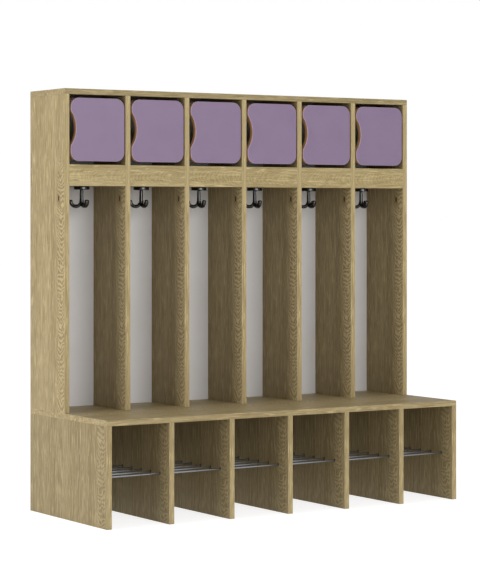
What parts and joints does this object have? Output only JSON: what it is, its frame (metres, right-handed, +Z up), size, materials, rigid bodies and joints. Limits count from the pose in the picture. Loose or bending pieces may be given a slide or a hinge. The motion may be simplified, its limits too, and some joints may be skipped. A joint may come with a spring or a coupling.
{
  "type": "school locker",
  "caption": "Cloakroom locker bench: open shoe bays with rod racks under a seat, coat bays with hooks, and small lockers on top whose doors have a wavy finger notch.",
  "frame": {"origin": "middle of the footprint, on the floor", "axes": "+Z up, front (seat, bays and doors) towards -Y, +X to the right seen from the front"},
  "size_m": [1.35, 0.52, 1.368],
  "materials": {
    "oak": "light oak laminate, satin, with straight grain",
    "back_sheet": "thin grey-white lacquered fibreboard, matt",
    "door_purple": "purple laminate, satin; clear-lacquered fibreboard edges",
    "rod_steel": "bright plated steel",
    "socket_plastic": "dark moulded plastic",
    "hook_black": "glossy black",
    "hinge_steel": "nickel-plated pressed steel",
    "screw_steel": "zinc-plated steel",
    "dowel_wood": "plain beech"
  },
  "bodies": {
    "cabinet": {"bench_side_left": "oak", "bench_side_right": "oak", "bench_divider_1": "oak", "bench_divider_2": "oak", "bench_divider_3": "oak", "bench_divider_4": "oak", "bench_divider_5": "oak", "tower_side_left": "oak", "tower_side_right": "oak", "tower_divider_1": "oak", "tower_divider_2": "oak", "tower_divider_3": "oak", "tower_divider_4": "oak", "tower_divider_5": "oak", "bench_top": "oak", "top_panel": "oak", "bench_back_panel": "back_sheet", "tower_back_panel": "back_sheet", "locker_shelf_1": "oak", "apron_1": "oak", "coat_hook_1": "hook_black", "locker_shelf_2": "oak", "apron_2": "oak", "coat_hook_2": "hook_black", "locker_shelf_3": "oak", "apron_3": "oak", "coat_hook_3": "hook_black", "locker_shelf_4": "oak", "apron_4": "oak", "coat_hook_4": "hook_black", "locker_shelf_5": "oak", "apron_5": "oak", "coat_hook_5": "hook_black", "locker_shelf_6": "oak", "apron_6": "oak", "coat_hook_6": "hook_black", "shoe_rods": "rod_steel", "rod_sockets": "socket_plastic", "wooden_dowels": "dowel_wood", "fixing_screws": "screw_steel", "hinge_arms": "hinge_steel", "hinge_plates": "hinge_steel"},
    "door_1": {"door_1": "door_purple", "hinge_cups_1": "hinge_steel"},
    "door_1_links": {"hinge_links_1": "hinge_steel"},
    "door_2": {"door_2": "door_purple", "hinge_cups_2": "hinge_steel"},
    "door_2_links": {"hinge_links_2": "hinge_steel"},
    "door_3": {"door_3": "door_purple", "hinge_cups_3": "hinge_steel"},
    "door_3_links": {"hinge_links_3": "hinge_steel"},
    "door_4": {"door_4": "door_purple", "hinge_cups_4": "hinge_steel"},
    "door_4_links": {"hinge_links_4": "hinge_steel"},
    "door_5": {"door_5": "door_purple", "hinge_cups_5": "hinge_steel"},
    "door_5_links": {"hinge_links_5": "hinge_steel"},
    "door_6": {"door_6": "door_purple", "hinge_cups_6": "hinge_steel"},
    "door_6_links": {"hinge_links_6": "hinge_steel"}
  },
  "joints": [
    {"name": "door_1_swing", "type": "hinge", "parent": "cabinet", "child": "door_1", "pos_m": [-0.455, 0.02, 1.238], "axis": [0, 0, 1], "range_deg": [0, 100]},
    {"name": "door_1_links_turn", "type": "hinge", "parent": "cabinet", "child": "door_1_links", "pos_m": [-0.455, 0.02, 1.238], "axis": [0, 0, 1], "range_deg": [0, 55]},
    {"name": "door_2_swing", "type": "hinge", "parent": "cabinet", "child": "door_2", "pos_m": [-0.233, 0.02, 1.238], "axis": [0, 0, 1], "range_deg": [0, 100]},
    {"name": "door_2_links_turn", "type": "hinge", "parent": "cabinet", "child": "door_2_links", "pos_m": [-0.233, 0.02, 1.238], "axis": [0, 0, 1], "range_deg": [0, 55]},
    {"name": "door_3_swing", "type": "hinge", "parent": "cabinet", "child": "door_3", "pos_m": [-0.011, 0.02, 1.238], "axis": [0, 0, 1], "range_deg": [0, 100]},
    {"name": "door_3_links_turn", "type": "hinge", "parent": "cabinet", "child": "door_3_links", "pos_m": [-0.011, 0.02, 1.238], "axis": [0, 0, 1], "range_deg": [0, 55]},
    {"name": "door_4_swing", "type": "hinge", "parent": "cabinet", "child": "door_4", "pos_m": [0.211, 0.02, 1.238], "axis": [0, 0, 1], "range_deg": [0, 100]},
    {"name": "door_4_links_turn", "type": "hinge", "parent": "cabinet", "child": "door_4_links", "pos_m": [0.211, 0.02, 1.238], "axis": [0, 0, 1], "range_deg": [0, 55]},
    {"name": "door_5_swing", "type": "hinge", "parent": "cabinet", "child": "door_5", "pos_m": [0.433, 0.02, 1.238], "axis": [0, 0, 1], "range_deg": [0, 100]},
    {"name": "door_5_links_turn", "type": "hinge", "parent": "cabinet", "child": "door_5_links", "pos_m": [0.433, 0.02, 1.238], "axis": [0, 0, 1], "range_deg": [0, 55]},
    {"name": "door_6_swing", "type": "hinge", "parent": "cabinet", "child": "door_6", "pos_m": [0.655, 0.02, 1.238], "axis": [0, 0, 1], "range_deg": [0, 100]},
    {"name": "door_6_links_turn", "type": "hinge", "parent": "cabinet", "child": "door_6_links", "pos_m": [0.655, 0.02, 1.238], "axis": [0, 0, 1], "range_deg": [0, 55]}
  ],
  "couplings": [
    {"joint": "door_1_links_turn", "follows": "door_1_swing", "ratio": 0.55},
    {"joint": "door_2_links_turn", "follows": "door_2_swing", "ratio": 0.55},
    {"joint": "door_3_links_turn", "follows": "door_3_swing", "ratio": 0.55},
    {"joint": "door_4_links_turn", "follows": "door_4_swing", "ratio": 0.55},
    {"joint": "door_5_links_turn", "follows": "door_5_swing", "ratio": 0.55},
    {"joint": "door_6_links_turn", "follows": "door_6_swing", "ratio": 0.55}
  ]
}
